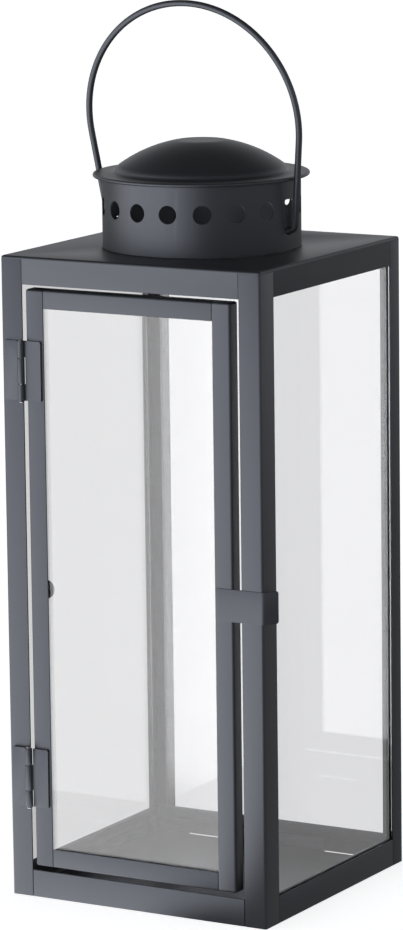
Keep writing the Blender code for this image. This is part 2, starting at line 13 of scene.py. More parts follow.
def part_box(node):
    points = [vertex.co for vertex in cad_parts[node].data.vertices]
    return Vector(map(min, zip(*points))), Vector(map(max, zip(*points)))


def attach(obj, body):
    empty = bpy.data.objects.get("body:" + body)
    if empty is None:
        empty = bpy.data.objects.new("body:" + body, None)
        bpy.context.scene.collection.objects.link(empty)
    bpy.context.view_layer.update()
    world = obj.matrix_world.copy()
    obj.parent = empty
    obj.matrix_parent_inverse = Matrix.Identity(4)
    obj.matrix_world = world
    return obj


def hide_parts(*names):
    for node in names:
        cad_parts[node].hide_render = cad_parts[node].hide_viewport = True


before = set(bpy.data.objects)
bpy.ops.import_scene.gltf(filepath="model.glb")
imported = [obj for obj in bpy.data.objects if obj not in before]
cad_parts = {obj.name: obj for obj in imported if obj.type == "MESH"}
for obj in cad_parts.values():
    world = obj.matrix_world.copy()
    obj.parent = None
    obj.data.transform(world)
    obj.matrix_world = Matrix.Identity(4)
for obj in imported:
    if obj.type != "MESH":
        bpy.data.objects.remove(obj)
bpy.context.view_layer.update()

MM = 0.001
SHEET = 0.8 * MM
FOLD = 1.2 * MM                # outside radius of a fold
SMOOTH_UNDER = 32              # degrees between faces that shade as one surface
EASE_OVER = 50                 # degrees between faces whose edge is eased
EASED = 0.12 * MM              # cut edge of the sheet, rounded by its coating
FREE_PLAY = 0.3 * MM           # between pieces that touch or turn on each other

# ---------------------------------------------------------------- sizes of the pieces
POST_RISE = 0.28 * MM          # posts end against the roof's edge, so that no light shows over them
POST_CUT_GAP = 0.15 * MM       # roof's cut past a post's inner sides
SMOKE_HOLE_RADIUS = 38.0 * MM
FLOOR_TAB = 50.0 * MM
FLOOR_SLIT = 3.3 * MM
FLOOR_SLIT_LENGTH = 23.0 * MM
GLASS_ARRIS = 0.2 * MM
VENT_PLACES = 18               # every 20 degrees, less the two where the bail goes in
VENT_RADIUS = 4.25 * MM
VENT_HEIGHT = 319.6 * MM       # above the floor
SLOT_WIDTH = 7.0 * MM          # for the bail's right end; its left end has a round hole
SLOT_LOW = 307.3 * MM
SLOT_HIGH = 323.7 * MM
SLOT_TOP_CORNER = 0.8 * MM
DOME_FOOT_RADIUS = 39.5 * MM
DOME_HEIGHT = 14.5 * MM
DOME_FLAT_RADIUS = 11.4 * MM
CROWN_EASE = 0.4 * MM          # flat crown's edge runs into the dome over this width
DOME_KNUCKLE = 4.5 * MM
DOME_FILLET = 1.0 * MM
LID_SHEET = 0.7 * MM
LID_RIM = 0.85 * MM
LID_HEM = 2.9 * MM
BAIL_WIRE = 1.5 * MM           # radius
BAIL_PIVOT = 309.35 * MM
BAIL_HOLE = 2.05 * MM          # radius
BAIL_LOOP = 55.0 * MM
BAIL_LOOP_HEIGHT = 48.7 * MM
BAIL_FOOT = 49.35 * MM         # foot of the straight leg, from the middle
BAIL_SHIFT = -0.5 * MM         # it hangs a little to the left
BAIL_LEAN = 7.3                # degrees towards the front
BAIL_BEND = 3.2 * MM
BAIL_HOOK_REACH = 5.2 * MM
BAIL_HOOK_DROP = 4.8 * MM
STILE_WIDTH = 9.2 * MM
PANE_TAB_HEIGHT = 9.0 * MM
PANE_TAB_SHOW = 1.6 * MM
PANE_TAB_DROP = 4.0 * MM       # below the door's middle
LATCH_BEND = 2.4 * MM          # inside radius
LATCH_BEND_DEG = 60            # how far it wraps round the post
LATCH_BEND_INSET = 1.0 * MM
LATCH_LEG = 6.6 * MM
KNUCKLE = 1.7 * MM
KNUCKLE_BORE = 1.05 * MM
HINGE_LEAF = 1.2 * MM
HINGE_MIDDLE = 11.7 * MM
PIN = 0.75 * MM
PIN_HEAD = 0.4 * MM

# ---------------------------------------------------------------- light
FLOOR_GLOW = 0.75              # keeps shadows on the floor faint
FLOOR_DIM = 0.22               # painted reflection: the floor's brightness as the satin coat mirrors it
FLOOR_IN_GLASS = 0.75          # painted reflection: the floor's brightness as the glass mirrors it
POOL = 4.2                     # painted pool of light added to the mirrored floor at the front left; the room's light takes it low on its wall there too
POOL_IN_GLASS = 2.6
POOL_AZIMUTH = 31              # degrees to the left of the front
POOL_CORE = 20                 # half-angles of the pool's middle and edge
POOL_EDGE = 60
POOL_HEIGHT = 28               # degrees above eye level to which it runs on, on the room's wall
HORIZON = 1.10                 # room at eye level and overhead
ZENITH = 0.10
BACKDROP = 1.05
SHADED_PAPER = 0.68            # painted shade on the paper behind the panes, from left to right
BRIGHT_PAPER = 0.96
SHADE_ACROSS = (0.867, 0.499, 0)   # level direction of that change
SHADE_START = -20 * MM
SHADE_END = 60 * MM
ZENITH_FROM = 50               # degrees above eye level from which the room is as dim as overhead

# ---------------------------------------------------------------- camera
CAMERA_YAW = 29.913            # degrees to the right of the front
CAMERA_PITCH = 10.299          # degrees down
CAMERA_ROLL = -0.723
CAMERA_DISTANCE = 2.1733
CAMERA_AIM = Vector((-0.0055, 0.0064, 0.1958))
CAMERA_LENS = 180.67


def place_camera():
    bpy.ops.object.camera_add()
    camera = bpy.context.active_object
    camera.name = "studio_camera"
    turn = (Matrix.Rotation(math.radians(CAMERA_YAW), 4, "Z")
            @ Matrix.Rotation(math.radians(90 - CAMERA_PITCH), 4, "X")
            @ Matrix.Rotation(math.radians(CAMERA_ROLL), 4, "Z"))
    camera.matrix_world = Matrix.Translation(CAMERA_AIM + turn.col[2].xyz * CAMERA_DISTANCE) @ turn
    camera.data.sensor_width = 36
    camera.data.lens = CAMERA_LENS
    camera.data.clip_end = 60
    bpy.context.scene.camera = camera


place_camera()


# ---------------------------------------------------------------- materials
def srgb(code):
    """Colour from a hex value, as a shader's linear colour."""
    parts = [int(code[i:i + 2], 16) / 255 for i in (1, 3, 5)]
    return (*[p / 12.92 if p <= 0.04045 else ((p + 0.055) / 1.055) ** 2.4 for p in parts], 1.0)


def add_node(tree, kind, settings=None, links=None):
    """Add one node; settings are its own values or input values, and links join outputs to inputs."""
    node = tree.nodes.new(kind)
    for key, value in (settings or {}).items():
        if isinstance(key, int) or key in node.inputs:
            node.inputs[key].default_value = value
        else:
            setattr(node, key, value)
    for key, output in (links or {}).items():
        tree.links.new(output, node.inputs[key])
    return node


def new_material(name):
    material = bpy.data.materials.new(name)
    material.use_nodes = True
    material.node_tree.nodes.clear()
    return material, material.node_tree


def powder_coat():
    """Black polyester powder coat, baked on steel: satin, with the soft waviness that the melt leaves."""
    material, tree = new_material("black_powder_coat_satin")
    place = add_node(tree, "ShaderNodeTexCoord").outputs["Object"]
    # orange peel: waves about 2.5 mm across
    peel = add_node(tree, "ShaderNodeTexNoise",
                    {"Scale": 1 / (2.5 * MM), "Detail": 1.0, "Roughness": 0.4}, {"Vector": place})
    # grain of the melted powder, really near 0.05 mm and drawn at 0.35 mm so that it shows
    grain = add_node(tree, "ShaderNodeTexNoise",
                     {"Scale": 1 / (0.35 * MM), "Detail": 2.0, "Roughness": 0.6}, {"Vector": place})
    # slow change in the coat's thickness over 30 mm
    cloud = add_node(tree, "ShaderNodeTexNoise",
                     {"Scale": 1 / (30 * MM), "Detail": 3.0, "Roughness": 0.5}, {"Vector": place})
    tone = add_node(tree, "ShaderNodeMix", {"data_type": "RGBA", 6: srgb("#1d1e1f"), 7: srgb("#262729")},
                    {0: cloud.outputs["Fac"]})
    gloss = add_node(tree, "ShaderNodeMapRange",
                     {"From Min": 0.3, "From Max": 0.7, "To Min": 0.40, "To Max": 0.48},
                     {"Value": grain.outputs["Fac"]})
    waves = add_node(tree, "ShaderNodeBump", {"Strength": 0.05, "Distance": 0.03 * MM},
                     {"Height": peel.outputs["Fac"]})
    relief = add_node(tree, "ShaderNodeBump", {"Strength": 0.06, "Distance": 0.008 * MM},
                      {"Height": grain.outputs["Fac"], "Normal": waves.outputs["Normal"]})
    coat = add_node(tree, "ShaderNodeBsdfPrincipled", {"IOR": 1.52, "Specular Tint": srgb("#e8eeff")},
                    {"Base Color": tone.outputs[2], "Roughness": gloss.outputs["Result"],
                     "Normal": relief.outputs["Normal"]})
    add_node(tree, "ShaderNodeOutputMaterial", links={"Surface": coat.outputs["BSDF"]})
    return material


def float_glass():
    """Clear float glass, fire-polished: it mirrors its surroundings and greys what lies behind a little."""
    material, tree = new_material("clear_float_glass")
    glass = add_node(tree, "ShaderNodeBsdfPrincipled",
                     {"Base Color": srgb("#f4f4f5"), "Roughness": 0.0, "IOR": 1.52, "Transmission Weight": 1.0})
    shade = add_node(tree, "ShaderNodeBsdfTransparent", {"Color": srgb("#f4f4f5")})
    path = add_node(tree, "ShaderNodeLightPath")
    mix = add_node(tree, "ShaderNodeMixShader", {},
                   {0: path.outputs["Is Shadow Ray"], 1: glass.outputs["BSDF"], 2: shade.outputs["BSDF"]})
    add_node(tree, "ShaderNodeOutputMaterial", links={"Surface": mix.outputs["Shader"]})
    return material


def drawn_steel():
    """Bare drawn steel of the hinge pins: bright, with fine lines along the wire."""
    material, tree = new_material("drawn_steel")
    place = add_node(tree, "ShaderNodeTexCoord").outputs["Object"]
    # draw lines 0.15 mm apart round the pin and some 8 mm long
    along = add_node(tree, "ShaderNodeMapping", {"Scale": (1.0, 1.0, 0.02)}, {"Vector": place})
    lines = add_node(tree, "ShaderNodeTexNoise", {"Scale": 1 / (0.15 * MM), "Detail": 2.0},
                     {"Vector": along.outputs["Vector"]})
    gloss = add_node(tree, "ShaderNodeMapRange", {"To Min": 0.22, "To Max": 0.42},
                     {"Value": lines.outputs["Fac"]})
    relief = add_node(tree, "ShaderNodeBump", {"Strength": 0.3, "Distance": 0.01 * MM},
                      {"Height": lines.outputs["Fac"]})
    steel = add_node(tree, "ShaderNodeBsdfPrincipled", {"Base Color": srgb("#b4b3b0"), "Metallic": 1.0},
                     {"Roughness": gloss.outputs["Result"], "Normal": relief.outputs["Normal"]})
    add_node(tree, "ShaderNodeOutputMaterial", links={"Surface": steel.outputs["BSDF"]})
    return material


COAT = powder_coat()
GLASS = float_glass()
STEEL = drawn_steel()


# ---------------------------------------------------------------- bench work
def alone(obj):
    """Select one piece and nothing else."""
    bpy.ops.object.select_all(action="DESELECT")
    obj.select_set(True)
    bpy.context.view_layer.objects.active = obj


def settle(name):
    """Name the primitive just added and put its place, turn and size into its mesh."""
    obj = bpy.context.active_object
    obj.name = obj.data.name = name
    alone(obj)
    bpy.ops.object.transform_apply(location=True, rotation=True, scale=True)
    return obj


def block(name, low, high):
    low, high = Vector(low), Vector(high)
    bpy.ops.object.select_all(action="DESELECT")
    bpy.ops.mesh.primitive_cube_add(size=1, location=(low + high) / 2, scale=high - low)
    return settle(name)


def rod(name, radius, low, high, axis="Z", sides=40, turn=0.0, caps="NGON"):
    """Round bar between two points that lie along an axis."""
    low, high = Vector(low), Vector(high)
    rotation = {"Z": (0, 0, 0), "X": (0, math.pi / 2, 0)}[axis]
    bpy.ops.object.select_all(action="DESELECT")
    bpy.ops.mesh.primitive_cylinder_add(
        vertices=sides, radius=radius, depth=(high - low).length, end_fill_type=caps,
        location=(low + high) / 2, rotation=(rotation[0], rotation[1], turn))
    return settle(name)


def pick(obj, kind, wanted):
    """In edit mode, select the faces or edges that pass a test."""
    bpy.ops.mesh.select_mode(type=kind)
    bpy.ops.mesh.select_all(action="DESELECT")
    mesh = bmesh.from_edit_mesh(obj.data)
    for item in (mesh.faces if kind == "FACE" else mesh.edges):
        if wanted(item):
            item.select_set(True)
    mesh.select_flush_mode()
    bmesh.update_edit_mesh(obj.data)


def edit(obj):
    alone(obj)
    bpy.ops.object.mode_set(mode="EDIT")
    bpy.ops.mesh.select_all(action="DESELECT")


def done():
    bpy.ops.object.mode_set(mode="OBJECT")


def apply_modifier(obj, name, kind, **settings):
    alone(obj)
    modifier = obj.modifiers.new(name, kind)
    for key, value in settings.items():
        setattr(modifier, key, value)
    bpy.ops.object.modifier_apply(modifier=name)


def give_wall(obj, wall=SHEET):
    apply_modifier(obj, "wall", "SOLIDIFY", thickness=wall, offset=-1.0, use_even_offset=True)


def ease_edges(obj, width=EASED, segments=2):
    apply_modifier(obj, "eased", "BEVEL", width=width, segments=segments, limit_method="ANGLE",
                   angle_limit=math.radians(EASE_OVER), use_clamp_overlap=True)


def combine(obj, tools, operation="DIFFERENCE"):
    """Cut other solids out of a piece, or weld them to it."""
    for tool in tools:
        apply_modifier(obj, "tool", "BOOLEAN", operation=operation, solver="EXACT", object=tool)
        bpy.data.objects.remove(tool, do_unlink=True)


def hand_over(obj, body, material, *nodes):
    """Shade a finished piece, give it its finish and let it stand for its frame pieces."""
    alone(obj)
    bpy.ops.object.shade_smooth_by_angle(angle=math.radians(SMOOTH_UNDER))
    obj.data.materials.clear()
    obj.data.materials.append(material)
    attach(obj, body)
    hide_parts(*nodes)
    return obj


def arc(centre, radius, start_deg, end_deg, count):
    """Points on an arc in a plane, ends included."""
    points = []
    for i in range(count + 1):
        angle = math.radians(start_deg + (end_deg - start_deg) * i / count)
        points.append((centre[0] + radius * math.cos(angle), centre[1] + radius * math.sin(angle)))
    return points


FACING = {"-X": (-1, 0, 0), "+X": (1, 0, 0), "-Y": (0, -1, 0), "+Y": (0, 1, 0),
          "-Z": (0, 0, -1), "+Z": (0, 0, 1)}


def folded_skin(name, low, high, sides):
    """Outer skin of a sheet that is folded along the edges between the named sides of a box."""
    skin = block(name, low, high)
    wanted = [Vector(FACING[side]) for side in sides]
    edit(skin)
    pick(skin, "FACE", lambda f: all(f.normal.dot(w) < 0.9 for w in wanted))
    bpy.ops.mesh.delete(type="FACE")
    pick(skin, "EDGE", lambda e: len(e.link_faces) == 2)
    if any(e.select for e in bmesh.from_edit_mesh(skin.data).edges):
        bpy.ops.mesh.bevel(offset=FOLD, segments=6, profile=0.5, affect="EDGES")
    done()
    return skin


def folded(node, sides, rise=0.0):
    """Folded strip in the place of a frame piece, made taller by rise."""
    low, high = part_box(node)
    high = high + Vector((0, 0, rise))
    strip = folded_skin(node + "_folded", low, high, sides)
    give_wall(strip)
    ease_edges(strip)
    return strip


# ---------------------------------------------------------------- case
def make_case():
    for side, x_side in (("left", "-X"), ("right", "+X")):
        for end, y_side in (("front", "-Y"), ("rear", "+Y")):
            node = f"post_{end}_{side}"
            hand_over(folded(node, (x_side, y_side), rise=POST_RISE), "frame", COAT, node)
    for side in ("front", "rear", "left", "right"):
        node = "base_rail_" + side
        rail = block(node + "_strip", *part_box(node))
        ease_edges(rail, 0.2 * MM, 3)
        hand_over(rail, "frame", COAT, node)
    for side, inner in (("left", "+X"), ("right", "-X"), ("rear", "-Y")):
        for level, end in (("lower", "-Z"), ("upper", "+Z")):
            node = f"pane_ledge_{level}_{side}"
            hand_over(folded(node, (inner, end)), "frame", COAT, node)


def make_roof():
    """Roof tray: five folded sides, cut away over the posts, with the smoke hole under the collar."""
    low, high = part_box("roof_tray")
    tray = folded_skin("roof_tray_folded", low, high, ("-X", "+X", "-Y", "+Y", "+Z"))
    give_wall(tray)
    over = 2 * MM
    tools = []
    for side in ("left", "right"):
        for end in ("front", "rear"):
            post_low, post_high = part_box(f"post_{end}_{side}")
            outer = Vector((math.copysign(over, post_low.x), math.copysign(over, post_low.y), 0))
            inner = Vector((math.copysign(POST_CUT_GAP, -post_low.x), math.copysign(POST_CUT_GAP, -post_low.y), 0))
            cut_low = Vector((post_low.x, post_low.y, low.z - over))
            cut_high = Vector((post_high.x, post_high.y, post_high.z + POST_RISE))
            for i in (0, 1):
                ends = [cut_low[i] + outer[i], cut_high[i] + inner[i]] if post_low[i] < 0 else [
                    cut_low[i] + inner[i], cut_high[i] + outer[i]]
                cut_low[i], cut_high[i] = ends
            tools.append(block("roof_cut", cut_low, cut_high))
    tools.append(rod("smoke_hole_cut", SMOKE_HOLE_RADIUS, (0, 0, high.z - over), (0, 0, high.z + over), sides=128))
    combine(tray, tools)
    ease_edges(tray)
    hand_over(tray, "frame", COAT, "roof_tray")


def make_floor():
    """Floor plate with a slit beside each end of its upturned front and rear tabs."""
    low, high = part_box("floor_plate")
    plate = block("floor_plate_sheet", low, (high.x, high.y, SHEET))
    tools = []
    for way in (-1, 1):
        edge = way * high.y
        for side in (-1, 1):
            x_low, x_high = sorted((side * FLOOR_TAB / 2, side * (FLOOR_TAB / 2 + FLOOR_SLIT_LENGTH)))
            y_low, y_high = sorted((edge - way * FLOOR_SLIT, edge + way * 2 * MM))
            tools.append(block("slit_cut", (x_low, y_low, -MM), (x_high, y_high, MM * 2)))
    combine(plate, tools)
    for way in (-1, 1):
        edit(plate)
        pick(plate, "FACE", lambda f: f.normal.z > 0.9)
        bpy.ops.mesh.bisect(plane_co=(0, way * (high.y - SHEET), 0), plane_no=(0, 1, 0))
        for x in (-FLOOR_TAB / 2, FLOOR_TAB / 2):
            pick(plate, "FACE", lambda f: f.normal.z > 0.9)
            bpy.ops.mesh.bisect(plane_co=(x, 0, 0), plane_no=(1, 0, 0))
        pick(plate, "FACE", lambda f: f.normal.z > 0.9 and abs(f.calc_center_median().x) < FLOOR_TAB / 2
             and way * f.calc_center_median().y > high.y - SHEET)
        bpy.ops.mesh.extrude_region_move(TRANSFORM_OT_translate={"value": (0, 0, high.z - SHEET)})
        done()
    ease_edges(plate)
    hand_over(plate, "frame", COAT, "floor_plate")


def make_pane(node, body):
    """Float glass pane with ground arrises."""
    pane = block(node + "_float", *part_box(node))
    ease_edges(pane, GLASS_ARRIS, 1)
    hand_over(pane, body, GLASS, node)


# ---------------------------------------------------------------- collar, lid and bail
def spun(name, profile, steps=128):
    """Open shell drawn ring by ring from a flat crown, as (radius, height) pairs."""
    bpy.ops.object.select_all(action="DESELECT")
    bpy.ops.mesh.primitive_circle_add(
        vertices=steps, radius=profile[0][0], fill_type="NGON", location=(0, 0, profile[0][1]))
    shell = settle(name)
    edit(shell)
    pick(shell, "EDGE", lambda e: True)
    for (radius, height), (next_radius, next_height) in zip(profile, profile[1:]):
        bpy.ops.mesh.extrude_edges_move(TRANSFORM_OT_translate={"value": (0, 0, next_height - height)})
        grow = next_radius / radius
        bpy.ops.transform.resize(value=(grow, grow, 1), center_override=(0, 0, next_height))
    done()
    return shell


def make_collar():
    """Vented collar, open at both ends, with a hole on the left and a slot on the right for the bail."""
    low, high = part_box("collar")
    radius = high.x
    collar = rod("collar_rolled", radius, (0, 0, low.z), (0, 0, high.z), sides=144, caps="NOTHING")
    give_wall(collar)
    tools = []
    for place in range(VENT_PLACES):
        if place % (VENT_PLACES // 2) == 0:
            continue
        angle = 2 * math.pi * place / VENT_PLACES
        vent = rod("vent_cut", VENT_RADIUS, (radius - 3 * MM, 0, VENT_HEIGHT), (radius + 2 * MM, 0, VENT_HEIGHT),
                   axis="X", sides=32)
        alone(vent)
        bpy.ops.transform.rotate(value=-angle, orient_axis="Z", center_override=(0, 0, 0))
        bpy.ops.object.transform_apply(location=True, rotation=True, scale=True)
        tools.append(vent)
    slot = block("slot_cut", (radius - 3 * MM, -SLOT_WIDTH / 2, SLOT_LOW),
                 (radius + 2 * MM, SLOT_WIDTH / 2, SLOT_HIGH))
    edit(slot)
    for top, corner, segments in ((False, SLOT_WIDTH * 0.4995, 12), (True, SLOT_TOP_CORNER, 4)):
        pick(slot, "EDGE", lambda e: abs((e.verts[0].co - e.verts[1].co).x) > MM
             and (e.verts[0].co.z > SLOT_HIGH - 0.1 * MM if top else e.verts[0].co.z < SLOT_LOW + 0.1 * MM))
        bpy.ops.mesh.bevel(offset=corner, segments=segments, profile=0.5, affect="EDGES")
    done()
    tools.append(slot)
    tools.append(rod("pivot_cut", BAIL_HOLE, (-radius - 2 * MM, 0, BAIL_PIVOT), (-radius + 3 * MM, 0, BAIL_PIVOT),
                     axis="X", sides=32))
    combine(collar, tools)
    ease_edges(collar, 0.1 * MM, 1)
    hand_over(collar, "frame", COAT, "collar")


def dome_line(flange_z):
    """Outer line from the flat crown to the flange: a wide arc that runs into a small knuckle."""
    knuckle_r = DOME_FOOT_RADIUS - DOME_KNUCKLE
    shift = (DOME_FLAT_RADIUS ** 2 + DOME_KNUCKLE ** 2 - knuckle_r ** 2 - DOME_HEIGHT ** 2) / 2
    a = DOME_HEIGHT ** 2 - DOME_KNUCKLE ** 2
    b = 2 * shift * DOME_HEIGHT
    c = shift ** 2 - (DOME_KNUCKLE * DOME_FLAT_RADIUS) ** 2
    rise = (-b + math.sqrt(b * b - 4 * a * c)) / (2 * a)
    wide = math.hypot(DOME_FLAT_RADIUS, rise)
    first = math.degrees(math.atan2(rise, DOME_FLAT_RADIUS))
    last = math.degrees(math.atan2(rise - DOME_HEIGHT, knuckle_r))
    points = [(DOME_FLAT_RADIUS - CROWN_EASE, flange_z + DOME_HEIGHT)]
    points += arc((0.0, flange_z + DOME_HEIGHT - rise), wide, first, last, 14)
    points += arc((knuckle_r, flange_z), DOME_KNUCKLE, last, 12, 6)[1:]
    # small hollow where the knuckle runs out into the flange
    foot = DOME_FOOT_RADIUS + DOME_FILLET
    points += [(foot - 0.55 * DOME_FILLET, flange_z + 0.25 * DOME_FILLET), (foot, flange_z)]
    return points


def make_lid():
    """Spun lid: dome, flat flange and a rim hemmed back under itself."""
    low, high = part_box("lid")
    flange_z = high.z - DOME_HEIGHT
    rim_z = flange_z - LID_RIM
    rim_r = high.x - LID_RIM
    line = dome_line(flange_z)
    line += [(rim_r - 3 * MM, flange_z)]
    line += arc((rim_r, rim_z), LID_RIM, 90, -90, 10)
    line.append((rim_r - LID_HEM, rim_z - LID_RIM))
    lid = spun("lid_spun", line)
    give_wall(lid, LID_SHEET)
    ease_edges(lid, 0.1 * MM, 1)
    hand_over(lid, "frame", COAT, "lid")


def bail_route():
    """Right half of the wire's centreline, from its hook to its top, in (x, height over the pivot)."""
    hook_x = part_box("collar")[1].x - SHEET - BAIL_HOOK_REACH
    hook = BAIL_HOOK_DROP / 2
    # the straight leg meets the round top as a tangent
    lean_out = (math.atan2(BAIL_LOOP_HEIGHT, BAIL_FOOT)
                - math.acos(BAIL_LOOP / math.hypot(BAIL_LOOP_HEIGHT, BAIL_FOOT)))
    bend_x = BAIL_FOOT - BAIL_BEND * math.tan((math.pi / 2 - lean_out) / 2)
    points = [(hook_x, -BAIL_HOOK_DROP)]
    points += arc((hook_x + hook, -hook), hook, 180, 90, 8)
    points += arc((bend_x, BAIL_BEND), BAIL_BEND, -90, -math.degrees(lean_out), 10)
    points += arc((0.0, BAIL_LOOP_HEIGHT), BAIL_LOOP, -math.degrees(lean_out), 90, 48)
    return points


def make_bail():
    """Bail bent from one wire, leaning forward as it stands."""
    half = bail_route()
    lean = Matrix.Rotation(math.radians(BAIL_LEAN), 3, "X")
    route = [lean @ Vector((x + BAIL_SHIFT, 0, z)) + Vector((0, 0, BAIL_PIVOT))
             for x, z in half + [(-x, z) for x, z in reversed(half[:-1])]]
    bpy.ops.object.select_all(action="DESELECT")
    bpy.ops.mesh.primitive_plane_add(size=MM, location=route[0])
    wire = settle("bail_wire")
    edit(wire)
    bpy.ops.mesh.select_mode(type="VERT")
    bpy.ops.mesh.select_all(action="SELECT")
    bpy.ops.mesh.merge(type="CENTER")
    for here, there in zip(route, route[1:]):
        bpy.ops.mesh.extrude_vertices_move(TRANSFORM_OT_translate={"value": there - here})
    done()
    alone(wire)
    bpy.ops.object.convert(target="CURVE")
    wire.data.bevel_depth = BAIL_WIRE
    wire.data.bevel_resolution = 5
    wire.data.use_fill_caps = True
    bpy.ops.object.convert(target="MESH")
    wire.name = wire.data.name = "bail_wire"
    edit(wire)
    bpy.ops.mesh.select_all(action="SELECT")
    bpy.ops.mesh.remove_doubles(threshold=0.005 * MM)
    bpy.ops.mesh.normals_make_consistent(inside=False)
    done()
    ease_edges(wire, 0.4 * MM, 3)
    hand_over(wire, "bail", COAT, "bail")


# ---------------------------------------------------------------- door
def make_door_frame():
    """Two stiles and two rails, folded; a tab with a round end on the left stile holds the pane."""
    low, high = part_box("door_stile_left")
    tab_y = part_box("door_pane")[1].y + FREE_PLAY
    tip = low.x + STILE_WIDTH + PANE_TAB_SHOW
    middle = (low.z + high.z) / 2 - PANE_TAB_DROP
    tab = block("tab", (low.x + SHEET / 2, tab_y, middle - PANE_TAB_HEIGHT / 2),
                (tip, tab_y + SHEET, middle + PANE_TAB_HEIGHT / 2))
    edit(tab)
    pick(tab, "EDGE", lambda e: all(abs(v.co.x - tip) < 0.1 * MM for v in e.verts)
         and abs((e.verts[0].co - e.verts[1].co).y) > 0.5 * SHEET)
    bpy.ops.mesh.bevel(offset=PANE_TAB_HEIGHT * 0.4995, segments=12, profile=0.5, affect="EDGES")
    done()
    for side, face in (("left", "-X"), ("right", "+X")):
        node = "door_stile_" + side
        low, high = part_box(node)
        skin_high = Vector((low.x + STILE_WIDTH, high.y, high.z)) if side == "left" else high
        stile = folded_skin(node + "_folded", low, skin_high, (face, "-Y", "-Z", "+Z"))
        give_wall(stile)
        if side == "left":
            combine(stile, [tab], "UNION")
        ease_edges(stile)
        hand_over(stile, "door", COAT, node)
    hand_over(folded("door_rail_top", ("-Y", "+Z")), "door", COAT, "door_rail_top")
    hand_over(folded("door_rail_bottom", ("-Y", "-Z")), "door", COAT, "door_rail_bottom")


def drawn_strip(name, path, low_z, high_z):
    """Upright strip that follows a path of (x, y) points."""
    bpy.ops.object.select_all(action="DESELECT")
    bpy.ops.mesh.primitive_plane_add(size=high_z - low_z, rotation=(math.pi / 2, 0, 0),
                                     location=(path[0][0], path[0][1], (low_z + high_z) / 2))
    strip = settle(name)
    left = min(v.co.x for v in strip.data.vertices)
    edit(strip)
    pick(strip, "EDGE", lambda e: all(abs(v.co.x - left) < 0.01 * MM for v in e.verts))
    bpy.ops.mesh.select_all(action="INVERT")
    bpy.ops.mesh.delete(type="EDGE")
    bpy.ops.mesh.select_all(action="SELECT")
    bpy.ops.transform.translate(value=(path[0][0] - left, 0, 0))
    for here, there in zip(path, path[1:]):
        bpy.ops.mesh.extrude_edges_move(
            TRANSFORM_OT_translate={"value": (there[0] - here[0], there[1] - here[1], 0)})
    done()
    return strip


def make_latch():
    """Spring strip from the door's right stile, across the gap and round the corner post, where it flares away."""
    low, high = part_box("latch_clip")
    corner_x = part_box("post_front_right")[1].x
    inner_y = low.y + SHEET
    path = [(low.x, inner_y), (low.x + 2 * MM, inner_y)]
    path += arc((corner_x - LATCH_BEND_INSET, inner_y + LATCH_BEND), LATCH_BEND, -90, LATCH_BEND_DEG - 90, 12)
    turn = math.radians(LATCH_BEND_DEG)
    end_x, end_y = path[-1]
    tip = Vector((end_x + LATCH_LEG * math.cos(turn), end_y + LATCH_LEG * math.sin(turn), 0))
    path.append((tip.x, tip.y))
    clip = drawn_strip("latch_clip_sprung", path, low.z, high.z)
    edit(clip)
    bpy.ops.mesh.select_all(action="SELECT")
    bpy.ops.mesh.normals_make_consistent(inside=False)
    done()
    first = min(clip.data.polygons, key=lambda p: p.center.x)
    # Known fault: turned this way, the wall goes inwards, 0.5 mm into the post and the stile.
    if first.normal.y > 0:
        edit(clip)
        bpy.ops.mesh.select_all(action="SELECT")
        bpy.ops.mesh.flip_normals()
        done()
    give_wall(clip)
    edit(clip)
    pick(clip, "EDGE", lambda e: all(v.co.y > tip.y - 0.8 * MM and v.co.x > tip.x - 0.8 * MM for v in e.verts)
         and abs((e.verts[0].co - e.verts[1].co).z) < 0.2 * MM)
    bpy.ops.mesh.bevel(offset=1.2 * MM, segments=5, profile=0.5, affect="EDGES")
    done()
    ease_edges(clip, 0.15 * MM, 2)
    hand_over(clip, "door", COAT, "latch_clip")


# ---------------------------------------------------------------- hinges
def make_leaf(node, body, way, owned):
    """Hinge leaf: a plate whose rolled knuckles take the pin; owned gives their low and high ends."""
    low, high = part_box(node)
    pin_low, pin_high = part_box(node.replace("door_leaf", "pin").replace("post_leaf", "pin"))
    axis = (pin_low + pin_high) / 2
    face_y = axis.y + KNUCKLE
    clear = axis.x + way * (KNUCKLE + FREE_PLAY)
    outer = high.x if way > 0 else low.x
    x_low, x_high = sorted((clear, outer))
    leaf = block(node + "_plate", (x_low, face_y - HINGE_LEAF, low.z), (x_high, face_y, high.z))
    edit(leaf)
    pick(leaf, "EDGE", lambda e: all(abs(v.co.x - outer) < 0.01 * MM for v in e.verts)
         and abs((e.verts[0].co - e.verts[1].co).y) > 0.5 * HINGE_LEAF)
    bpy.ops.mesh.bevel(offset=0.8 * MM, segments=4, profile=0.5, affect="EDGES")
    done()
    welds = []
    for band_low, band_high in owned:
        x_low, x_high = sorted((axis.x, clear + way * FREE_PLAY))
        welds.append(block("neck", (x_low, face_y - HINGE_LEAF, band_low), (x_high, face_y, band_high)))
        welds.append(rod("knuckle", KNUCKLE, (axis.x, axis.y, band_low), (axis.x, axis.y, band_high)))
    combine(leaf, welds, "UNION")
    combine(leaf, [rod("bore", KNUCKLE_BORE, (axis.x, axis.y, low.z - MM), (axis.x, axis.y, high.z + MM))])
    ease_edges(leaf, 0.15 * MM, 2)
    hand_over(leaf, body, COAT, node)


